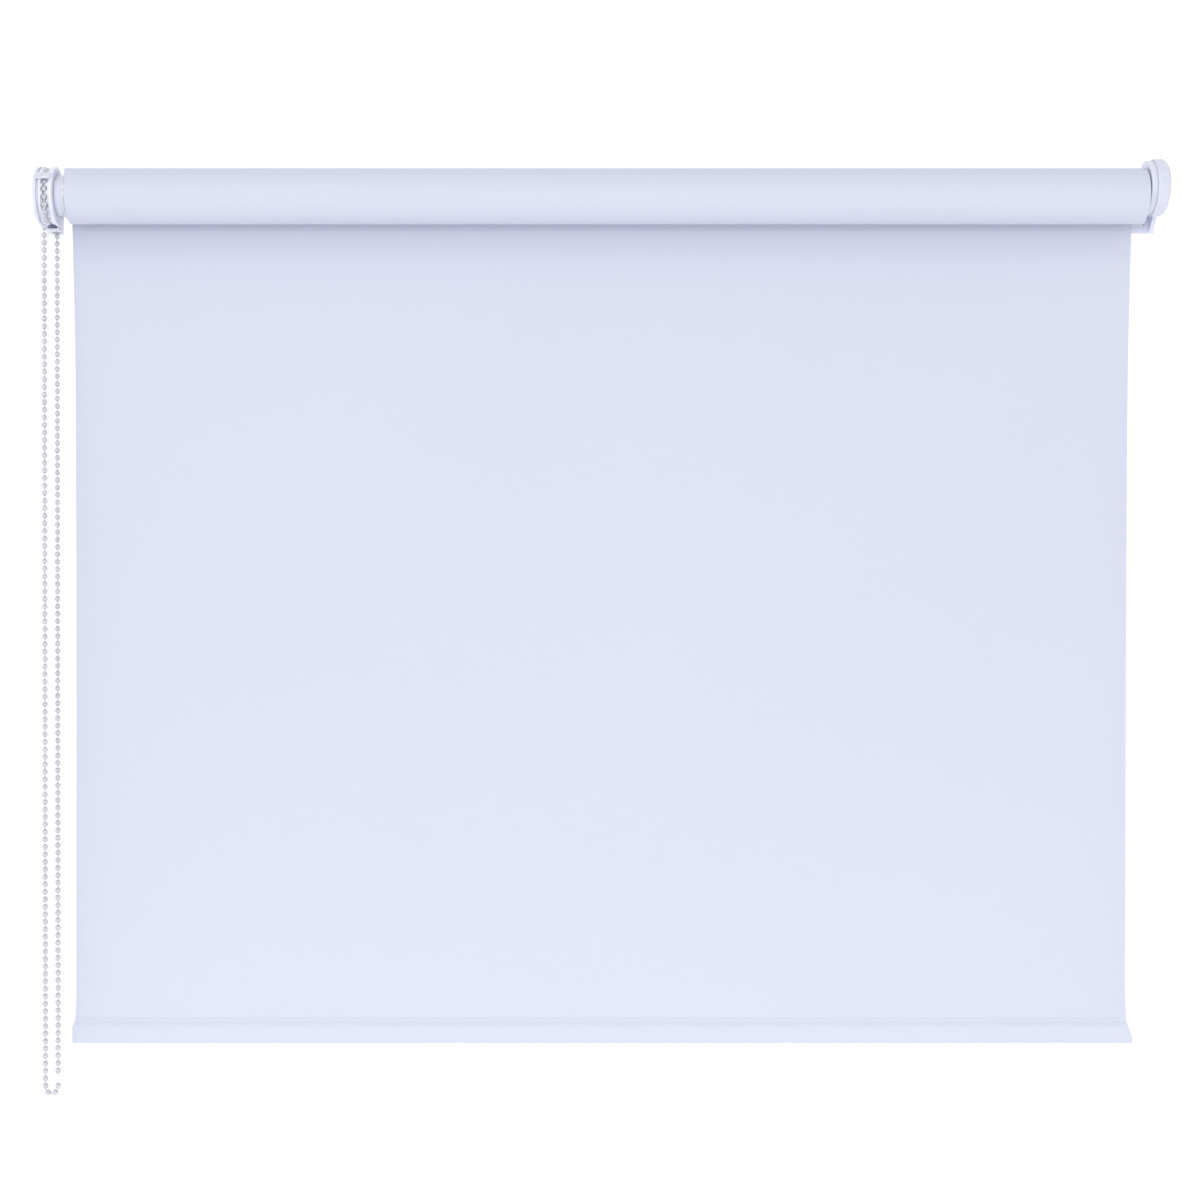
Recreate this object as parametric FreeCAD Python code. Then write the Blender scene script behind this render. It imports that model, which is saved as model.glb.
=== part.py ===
"""Roller blind, 860 mm of blackout cloth between two wall brackets, worked by a loop of bead chain.

Frame: +X to the right as seen from the room, -Y to the room, +Z up, millimetres.
The origin is the middle of the four wall screws, on the wall's face, so the wall is the plane Y = 0.
"""

import FreeCAD, Part
import math
import os

from FreeCAD import Vector

# Driving dimensions
CLOTH_WIDTH = 860.0
CLOTH_THICK = 0.4
DROP = 661.0  # from the roller's axis down to the hem's top edge
AXIS_TO_WALL = 27.0
AXIS_BELOW_SCREWS = 2.0  # the roller's axis lies this far under the middle of the screws
TUBE_R = 19.0
TUBE_WALL = 1.0
ROLL_R = 22.0  # outside of the cloth wound on the tube
ROLL_X = (-425.8, 432.7)
RUN = 0.05  # radial clearance of a running fit
SOFT_GAP = 0.3  # room left round a soft solid

# Bead chain and its wheel
BEAD_D = 4.5
BEAD_PITCH = 6.0
POCKETS = 21
CHAIN_X = -441.3
CHAIN_BOTTOM = 717.5  # from the axis down to the middle of the lowest bead
CHAIN_TOP = 13.5  # the hanging strands start this far under the axis
LOOP_X = (-445.5, -435.3)
FLANGE_R = 23.3
GROOVE_X = (-444.0, -437.6)
WHEEL_X = (-445.9, -435.3)
CORD_SLOT = 2.4
RIM_R = 22.2

# Drive end
COVER_X = (-450.4, -447.6)
SIDE_X = (-447.6, -446.1)
SIDE_R = 22.4
FOOT_X = (-447.6, -437.2)
FOOT_WALL = 1.5
FOOT_DEPTH = 17.7
FOOT_BOTTOM = 25.7
PLATE_THICK = 3.0
PLATE_TOP = 14.0
POST_R = 6.0
HUB_X = (-435.1, -430.0)
COLLAR_X = (-430.0, -427.0)
PLUG_LENGTH = 32.0

# Idle end
IDLE_COVER_X = (438.8, 449.7)
IDLE_SOCKET_X = (434.0, 438.8)
IDLE_LEG_X = (444.5, 447.9)
IDLE_PLATE_X = (427.7, 448.7)
IDLE_COVER_R = 22.6
IDLE_COVER_RISE = 6.8  # the cover's middle lies above the roller's axis
PIN_R = 5.0
PIN_END_X = 441.5
PIN_TRAVEL = 6.0

# Wall screws
SCREW_X = 441.8
SCREW_SPACING_Z = 14.0
SCREW_HOLE_R = 1.75
SCREW_HEAD_R = 3.5

# Bottom bar
HEM_HEIGHT = 21.5
HEM_THICK = 5.0
HEM_WALL = 0.5
BAR_WALL = 0.8
BAR_HEIGHT = 15.0
BAR_X = (-421.0, 421.0)

AXIS = Vector(0, -AXIS_TO_WALL, -AXIS_BELOW_SCREWS)
PITCH_R = BEAD_PITCH / 2 / math.sin(math.pi / POCKETS)
CLOTH_Y = ROLL_R + SOFT_GAP  # front face of the hanging cloth, behind the axis


def at(x, y, z):
    """A point given from the roller's axis."""
    return AXIS + Vector(x, y, z)


def rod(radius, ends, y=0.0, z=0.0):
    """A cylinder along X, placed from the roller's axis."""
    low, high = ends
    return Part.makeCylinder(radius, high - low, at(low, y, z), Vector(1, 0, 0))


def ring(outer, inner, ends, y=0.0, z=0.0):
    return rod(outer, ends, y, z).cut(rod(inner, ends, y, z))


def block(x, y, z):
    """A box between pairs of values, placed from the roller's axis."""
    low = at(min(x), min(y), min(z))
    return Part.makeBox(abs(x[1] - x[0]), abs(y[1] - y[0]), abs(z[1] - z[0]), low)


def turned(profile):
    """A solid of revolution about the roller's axis, from points (x, radius)."""
    points = [at(x, 0, r) for x, r in profile]
    face = Part.Face(Part.makePolygon(points + points[:1]))
    return face.revolve(AXIS, Vector(1, 0, 0), 360)


def plate(outline, ends):
    """A plate across X from an outline of (y, z) points taken from the roller's axis."""
    points = [at(ends[0], y, z) for y, z in outline]
    face = Part.Face(Part.makePolygon(points + points[:1]))
    return face.extrude(Vector(ends[1] - ends[0], 0, 0))


def spin(shape, degrees):
    """The shape turned about the roller's axis."""
    copy = shape.copy()
    copy.rotate(AXIS, Vector(1, 0, 0), degrees)
    return copy


def joined(shapes):
    first, rest = shapes[0], shapes[1:]
    return first.fuse(rest).removeSplitter() if rest else first


def on_wheel(angle, radius):
    """(y, z) at an angle counted from the room's side over the top."""
    return -radius * math.cos(math.radians(angle)), radius * math.sin(math.radians(angle))


def screw_holes(x):
    """Two countersunk holes, one above the other, through a wall plate."""
    holes = []
    for z in (-SCREW_SPACING_Z / 2, SCREW_SPACING_Z / 2):
        back = Vector(x, 0.5, z)
        holes.append(Part.makeCylinder(SCREW_HOLE_R, PLATE_THICK + 1, back, Vector(0, -1, 0)))
        depth = SCREW_HEAD_R - SCREW_HOLE_R
        start = Vector(x, -PLATE_THICK + depth, z)
        holes.append(Part.makeCone(SCREW_HOLE_R, SCREW_HEAD_R, depth, start, Vector(0, -1, 0)))
    return holes


def drive_bracket():
    """Wall plate, side plate and the open foot that the chain's back strand runs down through."""
    wall = AXIS_TO_WALL
    back = block((COVER_X[0], FOOT_X[1]), (wall - PLATE_THICK, wall), (-FOOT_BOTTOM, PLATE_TOP))
    side = rod(SIDE_R, SIDE_X).fuse(block(SIDE_X, (0, wall), (-PLATE_TOP, PLATE_TOP)))
    foot = block(FOOT_X, (wall - FOOT_DEPTH, wall), (-FOOT_BOTTOM, 0))
    inside = block(
        (SIDE_X[1], FOOT_X[1] - FOOT_WALL),
        (wall - FOOT_DEPTH + FOOT_WALL, wall - PLATE_THICK),
        (-FOOT_BOTTOM + FOOT_WALL, 1),
    )
    lip_top = -FOOT_BOTTOM + 2.0
    window = block(
        (SIDE_X[1], FOOT_X[1] - FOOT_WALL), (0, wall - PLATE_THICK), (lip_top, 1)
    )
    wheel_room = rod(FLANGE_R + 0.5, (SIDE_X[1], FOOT_X[1] + 1))
    way_out = Part.makeCylinder(4.0, 4, at(CHAIN_X, PITCH_R, -FOOT_BOTTOM - 1))
    foot = foot.cut([inside, window, wheel_room, way_out])
    socket = block(SIDE_X, (-4.05, 4.05), (-4.05, 4.05))
    pegs = [rod(1.5 + RUN, SIDE_X, *on_wheel(a, 15.0)) for a in (30, 150, 270)]
    bracket = joined([back, side, foot])
    return bracket.cut([socket] + pegs + screw_holes(-SCREW_X))


def drive_cover():
    """Round outer cover with a soft edge and three pegs."""
    disc = rod(FLANGE_R, COVER_X)
    outer_edges = [e for e in disc.Edges if abs(e.CenterOfMass.x - COVER_X[0]) < 0.01]
    disc = disc.makeFillet(1.6, outer_edges)
    peg_x = (COVER_X[1] - 0.5, SIDE_X[1])
    return joined([disc] + [rod(1.5, peg_x, *on_wheel(a, 15.0)) for a in (30, 150, 270)])


def chain_guide():
    """A finger over the wheel's groove that keeps the beads in their pockets."""
    inner, outer = FLANGE_R + 0.3, FLANGE_R + 1.4
    arm = ring(outer, inner, (SIDE_X[0], GROOVE_X[1] + 1.0))
    leg = ring(outer, SIDE_R, SIDE_X)
    wedge = plate([(0, 0), on_wheel(24, 40), on_wheel(37, 40)], (SIDE_X[0], GROOVE_X[1] + 1.0))
    return arm.fuse(leg).common(wedge).removeSplitter()


def drive_post():
    """Fixed spindle, held square in the side plate, that everything at this end turns on."""
    body = rod(POST_R, (SIDE_X[1], -402.0))
    square = block((SIDE_X[0], SIDE_X[1] + 1), (-4, 4), (-4, 4))
    clip_groove = ring(POST_R + 1, POST_R - 0.8, (-405.8, -404.6))
    return joined([body, square]).cut(clip_groove)


def brake_spring(start):
    """Close wound square wire that grips the post, with one end bent out."""
    turns, wire, inner = 8, 1.0, POST_R + 0.02
    notch = 0.12
    profile = [(start, inner), (start + turns * wire, inner)]
    for i in range(turns, 0, -1):
        high, low = start + i * wire, start + (i - 1) * wire
        profile += [(high - notch, inner + wire), (low + notch, inner + wire), (low, inner + wire - notch)]
    coil = turned(profile)
    tang = block((start, start + wire), (-0.5, 0.5), (inner + wire - 0.3, inner + wire + 1.5))
    return joined([coil, tang])


def hub_clip():
    """Open ring in the post's groove that keeps the hub on."""
    clip = ring(8.5, POST_R - 0.75, (-405.75, -404.65))
    return clip.cut(block((-406, -404), (-2.5, 2.5), (-9, -3)))


def chain_wheel():
    """Flanged wheel with a pocket for each bead, wider at its mouth, and a slot for the cord."""
    low, high = WHEEL_X
    body = rod(FLANGE_R, WHEEL_X).cut(ring(FLANGE_R + 1, RIM_R, GROOVE_X))
    shoulder_r = 0.6
    edges = [e for e in body.Edges if abs(e.Length - 2 * math.pi * FLANGE_R) < 0.5]
    body = body.makeFillet(shoulder_r, edges)
    seat = Part.makeSphere(BEAD_D / 2 + 0.05, at(CHAIN_X, 0, PITCH_R))
    mouth = Part.makeCone(BEAD_D / 2 + 0.05, 2.9, RIM_R - PITCH_R + 0.5, at(CHAIN_X, 0, PITCH_R))
    pocket = seat.fuse(mouth)
    pockets = [spin(pocket, 360.0 * k / POCKETS) for k in range(POCKETS)]
    mid = CORD_SLOT / 2
    cord_slot = ring(FLANGE_R, PITCH_R - 1.6, (CHAIN_X - mid, CHAIN_X + mid))
    bore = rod(POST_R + RUN, (low - 1, high + 1))
    body = body.cut(cord_slot).cut(pockets).cut(bore)
    finger = ring(8.9, 7.6, (high - 0.5, -413.0))
    wedge = plate([(0, 0), (9, 12), (-9, 12)], (high - 0.5, -413.0))
    return joined([body, spin(finger.common(wedge), 90)])


def wheel_beads():
    """The beads that lie in the upper pockets."""
    bead = Part.makeSphere(BEAD_D / 2, at(CHAIN_X, 0, PITCH_R))
    half = POCKETS // 4
    return Part.makeCompound([spin(bead, 360.0 * k / POCKETS) for k in range(-half, half + 1)])


def key_way(inner_r, ends):
    """The room that the tube's inner rib takes in a plug."""
    return block(ends, (-1.6, 1.6), (inner_r - 1.7, inner_r + 1))


def drive_hub():
    """Turning hub: neck, chamfered collar and ribbed plug in the tube."""
    plug_r = TUBE_R - TUBE_WALL - RUN
    plug_end = COLLAR_X[1] + PLUG_LENGTH
    profile = [
        (HUB_X[0], 9.2),
        (HUB_X[0], 16.0),
        (HUB_X[1], 16.0),
        (HUB_X[1] + 1.6, 18.5),
        (COLLAR_X[1], 18.5),
        (COLLAR_X[1], plug_r),
        (plug_end - 1.5, plug_r),
        (plug_end, plug_r - 1.5),
        (plug_end, 14.0),
        (-406.0, 14.0),
        (-406.0, POST_R + RUN),
        (-410.0, POST_R + RUN),
        (-410.0, 9.2),
    ]
    hub = turned(profile)
    relief = ring(plug_r + 1, plug_r - 1.6, (COLLAR_X[1] + 4, plug_end - 4))
    rib = block((COLLAR_X[1], plug_end), (-2, 2), (10, 20))
    ribs = [spin(rib, 30.0 * k) for k in range(12)]
    hub = hub.cut(relief.cut(ribs))
    return hub.cut(key_way(TUBE_R - TUBE_WALL, (COLLAR_X[1], plug_end + 1)))


def roller_tube():
    """Round tube with one rolled rib along its inside that the plugs key on."""
    ends = (COLLAR_X[1] + 0.1, 432.0)
    tube = ring(TUBE_R, TUBE_R - TUBE_WALL, ends)
    rib = block(ends, (-1.5, 1.5), (TUBE_R - TUBE_WALL - 1.5, TUBE_R - TUBE_WALL + 0.3))
    return joined([tube, rib])


def fabric_tape():
    """Adhesive strip that holds the cloth's first turn to the tube."""
    ends = (-424.0, 424.0)
    wedge = plate([(0, 0), (10, 30), (-10, 30)], ends)
    return ring(TUBE_R + 0.13, TUBE_R + 0.01, ends).common(wedge)


def fabric_roll():
    return ring(ROLL_R, TUBE_R + 0.15, ROLL_X)


def fabric_drop():
    half = CLOTH_WIDTH / 2
    return block((-half, half), (CLOTH_Y, CLOTH_Y + CLOTH_THICK), (-DROP + SOFT_GAP, 0))


def pill(width, height, ends, bottom):
    """A flat bar along X with half round top and bottom, in the plane of the cloth."""
    y = CLOTH_Y + CLOTH_THICK / 2
    z = bottom + height / 2
    reach = (height - width) / 2
    core = block(ends, (y - width / 2, y + width / 2), (z - reach, z + reach))
    return joined([core, rod(width / 2, ends, y, z - reach), rod(width / 2, ends, y, z + reach)])


def hem_pocket():
    ends = (-CLOTH_WIDTH / 2, CLOTH_WIDTH / 2)
    bottom = -DROP - HEM_HEIGHT
    inner = pill(HEM_THICK - 2 * HEM_WALL, HEM_HEIGHT - 2 * HEM_WALL, ends, bottom + HEM_WALL)
    return pill(HEM_THICK, HEM_HEIGHT, ends, bottom).cut(inner)


def bar_pill(inset, ends):
    """The bottom bar's outline, or one that lies a distance inside it."""
    width = HEM_THICK - 2 * (HEM_WALL + 0.05) - 2 * inset
    return pill(width, BAR_HEIGHT - 2 * inset, ends, -DROP - HEM_HEIGHT + HEM_WALL + 0.05 + inset)


def bottom_bar():
    return bar_pill(0, BAR_X).cut(bar_pill(BAR_WALL, BAR_X))


def bar_end(side):
    """End plug of the bottom bar, a head with a tongue inside the bar."""
    end = BAR_X[1]
    head_x = sorted((side * (end + 0.1), side * (end + 3.5)))
    tongue_x = sorted((side * (end - 12.0), side * (end + 0.2)))
    return joined([bar_pill(0, head_x), bar_pill(BAR_WALL + 0.05, tongue_x)])


def idle_leg(grow, ends):
    """Side arm of the idle bracket: a round head that slopes down to the wall."""
    head = rod(20.4 + grow, ends, 0, IDLE_COVER_RISE)
    wall = AXIS_TO_WALL
    outline = [
        (0, IDLE_COVER_RISE - 19.9 - grow),
        (12, -13.6 - grow),
        (24.0, -24.6 - grow),
        (wall, -25.2 - grow),
        (wall, PLATE_TOP + grow),
        (0, IDLE_COVER_RISE + 20.4 + grow),
    ]
    return head.fuse(plate(outline, ends)).removeSplitter()


def idle_bracket():
    """Wall plate and side arm. The plate reaches in behind the cloth and has a latch slot."""
    wall = AXIS_TO_WALL
    low, high = IDLE_PLATE_X
    back = block((low, high), (wall - PLATE_THICK, wall), (-25.2, PLATE_TOP))
    corner = at(high, wall - PLATE_THICK / 2, -25.2)
    lower_corner = [e for e in back.Edges if e.CenterOfMass.isEqual(corner, 0.01)]
    back = back.makeFillet(0.7, lower_corner)
    slot = block((low + 0.8, 440.8), (wall - PLATE_THICK - 1, wall - 0.6), (-19.8, -17.6))
    leg = idle_leg(0, IDLE_LEG_X)
    pegs = [rod(1.5 + RUN, IDLE_LEG_X, -10 * s, IDLE_COVER_RISE + 8) for s in (-1, 1)]
    return joined([back, leg]).cut([slot] + pegs + screw_holes(SCREW_X))


def idle_cover():
    """Thick round cap over the arm's head, open towards the roller, with rounded shoulders."""
    low, high = IDLE_COVER_X
    cap = rod(IDLE_COVER_R, IDLE_COVER_X, 0, IDLE_COVER_RISE)
    cap = cap.makeFillet(4.6, [e for e in cap.Edges if abs(e.CenterOfMass.x - high) < 0.01])
    inner_edges = [
        e
        for e in cap.Edges
        if abs(e.CenterOfMass.x - low) < 0.01 and abs(e.Length - 2 * math.pi * IDLE_COVER_R) < 0.5
    ]
    cap = cap.makeFillet(1.2, inner_edges)
    hollow = rod(IDLE_COVER_R - 1.8, (low - 1, high - 1.6), 0, IDLE_COVER_RISE)
    arm_x = (IDLE_LEG_X[0] - 0.2, high - 1.6)
    arm_way = idle_leg(0.3, arm_x).common(block(arm_x, (4, 40), (-40, 40)))
    pegs = [rod(1.5, (IDLE_LEG_X[0] + 0.2, high - 1), -10 * s, IDLE_COVER_RISE + 8) for s in (-1, 1)]
    return joined([cap.cut([hollow, arm_way])] + pegs)


def idle_socket():
    """Inner disc of the idle end with the socket that takes the spring pin."""
    disc = rod(IDLE_COVER_R - 1.2, IDLE_SOCKET_X, 0, IDLE_COVER_RISE)
    rim = [e for e in disc.Edges if abs(e.CenterOfMass.x - IDLE_SOCKET_X[0]) < 0.01]
    disc = disc.makeFillet(0.8, rim)
    boss = rod(8.0, (IDLE_SOCKET_X[0] + 1, IDLE_LEG_X[0]))
    hole = rod(PIN_R + RUN, (IDLE_SOCKET_X[0] - 1, PIN_END_X + 0.5))
    return joined([disc, boss]).cut(hole)


def idle_plug():
    """Ribbed plug in the tube's right end, bored for the bush, pin and spring."""
    plug_r = TUBE_R - TUBE_WALL - RUN
    inner_end, outer_end = 395.0, 432.1
    profile = [
        (inner_end, 3.4),
        (inner_end, plug_r - 1.5),
        (inner_end + 1.5, plug_r),
        (outer_end, plug_r),
        (outer_end, 18.6),
        (outer_end + 1.2, 18.6),
        (outer_end + 1.2, 8.0),
        (397.0, 8.0),
        (397.0, 3.4),
    ]
    plug = turned(profile)
    relief = ring(plug_r + 1, plug_r - 1.6, (inner_end + 5, outer_end - 5))
    ribs = [spin(block((inner_end, outer_end), (-2, 2), (10, 20)), 30.0 * k) for k in range(12)]
    plug = plug.cut(relief.cut(ribs))
    return plug.cut(key_way(TUBE_R - TUBE_WALL, (inner_end - 1, outer_end - 0.05)))


def idle_bush():
    return ring(8.0 - 0.02, PIN_R + RUN, (420.0, 433.6))


def idle_pin():
    """Spring pin with a stop collar inside the bush and a thin tail through the spring."""
    profile = [
        (404.0, 0),
        (404.0, 3.0),
        (416.9, 3.0),
        (416.9, 6.9),
        (419.9, 6.9),
        (419.9, PIN_R),
        (PIN_END_X - 1.2, PIN_R),
        (PIN_END_X, PIN_R - 1.2),
        (PIN_END_X, 0),
    ]
    return turned(profile)


def pin_spring():
    """Coil spring behind the pin's collar, drawn as a stack of its turns."""
    wire, inner, count, start = 0.9, 3.7, 9, 403.6
    pitch = (416.8 - start - wire) / (count - 1)
    turns = []
    for k in range(count):
        centre = at(start + wire / 2 + k * pitch, 0, 0)
        turns.append(Part.makeTorus(inner + wire / 2, wire / 2, centre, Vector(1, 0, 0)))
    ties = []
    for k in range(count - 1):
        x = start + wire / 2 + k * pitch
        y, z = on_wheel(137.0 * k, inner + wire / 2)
        ties.append(rod(wire / 2 - 0.05, (x, x + pitch), y, z))
    return joined(turns + ties)


def arc_between(before, corner, after, radius):
    """Where a rounded corner starts, its middle point and where it ends."""
    back, on = (before - corner).normalize(), (after - corner).normalize()
    half_turn = (math.pi - back.getAngle(on)) / 2
    reach = radius * math.tan(half_turn)
    inward = (back + on).normalize()
    middle = corner + inward * (radius / math.cos(half_turn) - radius)
    return corner + back * reach, middle, corner + on * reach


def chain_route():
    """The hanging chain: down at the front, round the loop at the bottom and up at the back."""
    return [
        at(CHAIN_X, -PITCH_R, -CHAIN_TOP),
        at(LOOP_X[0], 0, -CHAIN_BOTTOM),
        at(LOOP_X[1], 0, -CHAIN_BOTTOM),
        at(CHAIN_X, PITCH_R, -CHAIN_TOP),
    ]


def bead_chain():
    """The chain's two hanging strands and loop, as one tube as thick as its beads."""
    route = chain_route()
    edges, here, length = [], route[0], 0.0
    for before, corner, after in zip(route, route[1:], route[2:]):
        back, on = (before - corner).normalize(), (after - corner).normalize()
        half_turn = (math.pi - back.getAngle(on)) / 2
        shorter = min(before.distanceToPoint(corner), corner.distanceToPoint(after))
        radius = 0.45 * shorter / math.tan(half_turn)
        start, middle, end = arc_between(before, corner, after, radius)
        print("chain corner radius %.2f mm" % radius)
        edges += [Part.LineSegment(here, start).toShape(), Part.Arc(start, middle, end).toShape()]
        here = end
    edges.append(Part.LineSegment(here, route[-1]).toShape())
    path = Part.Wire(edges)
    section = Part.Wire(Part.makeCircle(BEAD_D / 2, route[0], route[1] - route[0]))
    tube = path.makePipeShell([section], True, True)
    expected = math.pi * BEAD_D**2 / 4 * path.Length
    print("chain %.1f mm long, volume %.1f, section times length %.1f" % (path.Length, tube.Volume, expected))
    return tube


def chain_connector():
    """Slim sleeve that joins the cord's ends in place of a bead, on the back strand just over the bottom.
    It lies inside the tube that stands for the beads."""
    foot, top = chain_route()[2:]
    along = (top - foot).normalize()
    return Part.makeCylinder(1.5, 6.5, foot + along * 9.5, along)


NODES = {
    "drive_bracket": drive_bracket,
    "drive_cover": drive_cover,
    "chain_guide": chain_guide,
    "drive_post": drive_post,
    "brake_spring_a": lambda: brake_spring(-432.0),
    "brake_spring_b": lambda: brake_spring(-422.5),
    "hub_clip": hub_clip,
    "chain_wheel": chain_wheel,
    "wheel_beads": wheel_beads,
    "drive_hub": drive_hub,
    "roller_tube": roller_tube,
    "fabric_tape": fabric_tape,
    "fabric_roll": fabric_roll,
    "fabric_drop": fabric_drop,
    "hem_pocket": hem_pocket,
    "bottom_bar": bottom_bar,
    "bar_end_left": lambda: bar_end(-1),
    "bar_end_right": lambda: bar_end(1),
    "idle_bracket": idle_bracket,
    "idle_cover": idle_cover,
    "idle_socket": idle_socket,
    "idle_plug": idle_plug,
    "idle_bush": idle_bush,
    "idle_pin": idle_pin,
    "pin_spring": pin_spring,
    "bead_chain": bead_chain,
    "chain_connector": chain_connector,
}


def main():
    os.makedirs("parts", exist_ok=True)
    for name, make in NODES.items():
        shape = make()
        print(name, shape.ShapeType, len(shape.Solids), shape.isValid(), round(shape.Volume, 1))
        shape.exportStep("parts/%s.step" % name)


main()
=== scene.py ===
import math
import random

import bmesh
import bpy
import numpy as np
from bpy.props import FloatProperty, IntProperty, PointerProperty, StringProperty
from bpy.types import Operator, Panel, PropertyGroup
from mathutils import Matrix, Vector


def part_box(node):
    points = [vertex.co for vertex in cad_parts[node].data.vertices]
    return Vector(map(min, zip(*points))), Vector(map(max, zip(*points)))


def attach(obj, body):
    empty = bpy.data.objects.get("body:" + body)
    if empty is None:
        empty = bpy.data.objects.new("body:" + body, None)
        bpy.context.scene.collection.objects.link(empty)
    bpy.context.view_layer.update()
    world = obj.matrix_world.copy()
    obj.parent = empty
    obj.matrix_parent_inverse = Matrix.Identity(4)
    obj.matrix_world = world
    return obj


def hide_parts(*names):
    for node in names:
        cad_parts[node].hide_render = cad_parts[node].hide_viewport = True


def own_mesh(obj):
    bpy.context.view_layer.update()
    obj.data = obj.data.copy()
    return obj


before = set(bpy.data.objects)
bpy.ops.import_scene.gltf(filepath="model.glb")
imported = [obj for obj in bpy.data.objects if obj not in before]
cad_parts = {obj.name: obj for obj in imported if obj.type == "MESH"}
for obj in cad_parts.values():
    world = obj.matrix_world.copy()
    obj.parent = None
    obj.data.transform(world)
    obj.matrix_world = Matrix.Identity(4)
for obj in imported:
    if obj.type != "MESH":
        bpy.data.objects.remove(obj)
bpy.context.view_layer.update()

bl_info = {
    "name": "Roller Blind Builder",
    "version": (1, 0, 0),
    "blender": (4, 5, 0),
    "location": "View3D > Sidebar > Roller Blind",
    "description": "Builds a bead chain roller blind around its packed frame",
    "category": "Add Mesh",
}

MM = 0.001


# Places, read from the frame ------------------------------------------------------------------


def middle(node):
    low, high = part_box(node)
    return (low + high) / 2


AXIS = middle("roller_tube")  # a point on the roller's axis
ROLL_LOW, ROLL_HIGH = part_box("fabric_roll")
TUBE_LOW, TUBE_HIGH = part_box("roller_tube")
CLOTH_LOW, CLOTH_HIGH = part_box("fabric_drop")
HEM_LOW, HEM_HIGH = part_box("hem_pocket")
ROLL_R = (ROLL_HIGH.z - ROLL_LOW.z) / 2
TUBE_R = (TUBE_HIGH.z - TUBE_LOW.z) / 2
CLOTH_MID_Y = (CLOTH_LOW.y + CLOTH_HIGH.y) / 2

# The chain's route repeats the frame's: along X, across Y and up Z from the roller's axis, in mm.
WHEEL_POCKETS = 21
BEAD_PITCH = 6.0 * MM
PITCH_R = BEAD_PITCH / 2 / math.sin(math.pi / WHEEL_POCKETS)
CHAIN_X = -441.3 * MM
CHAIN_TOP = 13.5 * MM  # the hanging strands start this far under the axis
CHAIN_BOTTOM = 717.5 * MM
LOOP_X = (-445.5 * MM, -435.3 * MM)
CORNER_GUARD = 10.2 * MM  # a point this far over each lower corner keeps the strands straight


def from_axis(x, y, z):
    return Vector((x, AXIS.y + y, AXIS.z + z))


# Small helpers --------------------------------------------------------------------------------


def props():
    return bpy.context.scene.roller_blind


def linear(hex_colour):
    """A linear colour from an sRGB hex value such as 'E4E7F8'."""
    srgb = [int(hex_colour[i : i + 2], 16) / 255 for i in (0, 2, 4)]
    return [c / 12.92 if c <= 0.04045 else ((c + 0.055) / 1.055) ** 2.4 for c in srgb]


def rgba(hex_colour):
    return (*linear(hex_colour), 1.0)


def add_node(tree, kind, settings=None, **inputs):
    """Adds a node, sets its own settings, and sets or links its inputs by name or place."""
    node = tree.nodes.new(kind)
    for key, value in (settings or {}).items():
        setattr(node, key, value)
    for key, value in inputs.items():
        by_place = key.startswith("in_") and key[3:].isdigit()
        name = int(key[3:]) if by_place else key.replace("_", " ")
        socket = node.inputs[name]
        if isinstance(value, bpy.types.NodeSocket):
            tree.links.new(value, socket)
        else:
            socket.default_value = value
    return node


def new_object(name, mesh):
    piece = bpy.data.objects.new(name, mesh)
    bpy.context.scene.collection.objects.link(piece)
    return piece


def mesh_object(name, points, faces, smooth=True):
    mesh = bpy.data.meshes.new(name)
    mesh.from_pydata([tuple(p) for p in points], [], faces)
    mesh.validate()
    for face in mesh.polygons:
        face.use_smooth = smooth
    return new_object(name, mesh)


def outward(piece):
    """Merges doubles and points every face outwards."""
    work = bmesh.new()
    work.from_mesh(piece.data)
    bmesh.ops.remove_doubles(work, verts=work.verts, dist=1e-6)
    bmesh.ops.recalc_face_normals(work, faces=work.faces)
    work.to_mesh(piece.data)
    work.free()


def plain_mesh(piece):
    """Turns a piece's modifiers into its mesh."""
    evaluated = piece.evaluated_get(bpy.context.evaluated_depsgraph_get())
    mesh = bpy.data.meshes.new_from_object(evaluated)
    piece.modifiers.clear()
    piece.data = mesh
    return piece


def crisp(piece):
    """Shades a piece smoothly, but keeps edges sharper than 40 degrees."""
    piece.data.shade_smooth()
    piece.data.set_sharp_from_angle(angle=math.radians(40))
    return piece


def tree_input(tree, name, kind="NodeSocketFloat", default=None):
    socket = tree.interface.new_socket(name, in_out="INPUT", socket_type=kind)
    if default is not None:
        socket.default_value = default
    return socket


def run_tree(piece, tree, values):
    """Adds a Geometry Nodes tree to a piece, sets its inputs and keeps the result as a plain mesh."""
    modifier = piece.modifiers.new(tree.name, "NODES")
    modifier.node_group = tree
    for item in tree.interface.items_tree:
        if item.name in values and item.in_out == "INPUT":
            modifier[item.identifier] = values[item.name]
    piece.update_tag()
    bpy.context.view_layer.update()
    return plain_mesh(piece)


# Materials ------------------------------------------------------------------------------------

BAND_RATE = {"X": 20, "DIAGONAL": 10}  # radians that a wave texture turns for each unit
WEAVE_PERIOD_MM = 0.9


def new_material(name):
    made = bpy.data.materials.new(name)
    made.use_nodes = True
    tree = made.node_tree
    tree.nodes.clear()
    return made, tree


def surface(tree, shader):
    out = tree.nodes.new("ShaderNodeOutputMaterial")
    tree.links.new(shader.outputs[0], out.inputs["Surface"])


def shade(tree, low, high, factor):
    """A colour between two hex values."""
    mix = add_node(tree, "ShaderNodeMix", {"data_type": "RGBA"})
    tree.links.new(factor, mix.inputs["Factor"])
    mix.inputs["A"].default_value = rgba(low)
    mix.inputs["B"].default_value = rgba(high)
    return mix.outputs["Result"]


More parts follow.
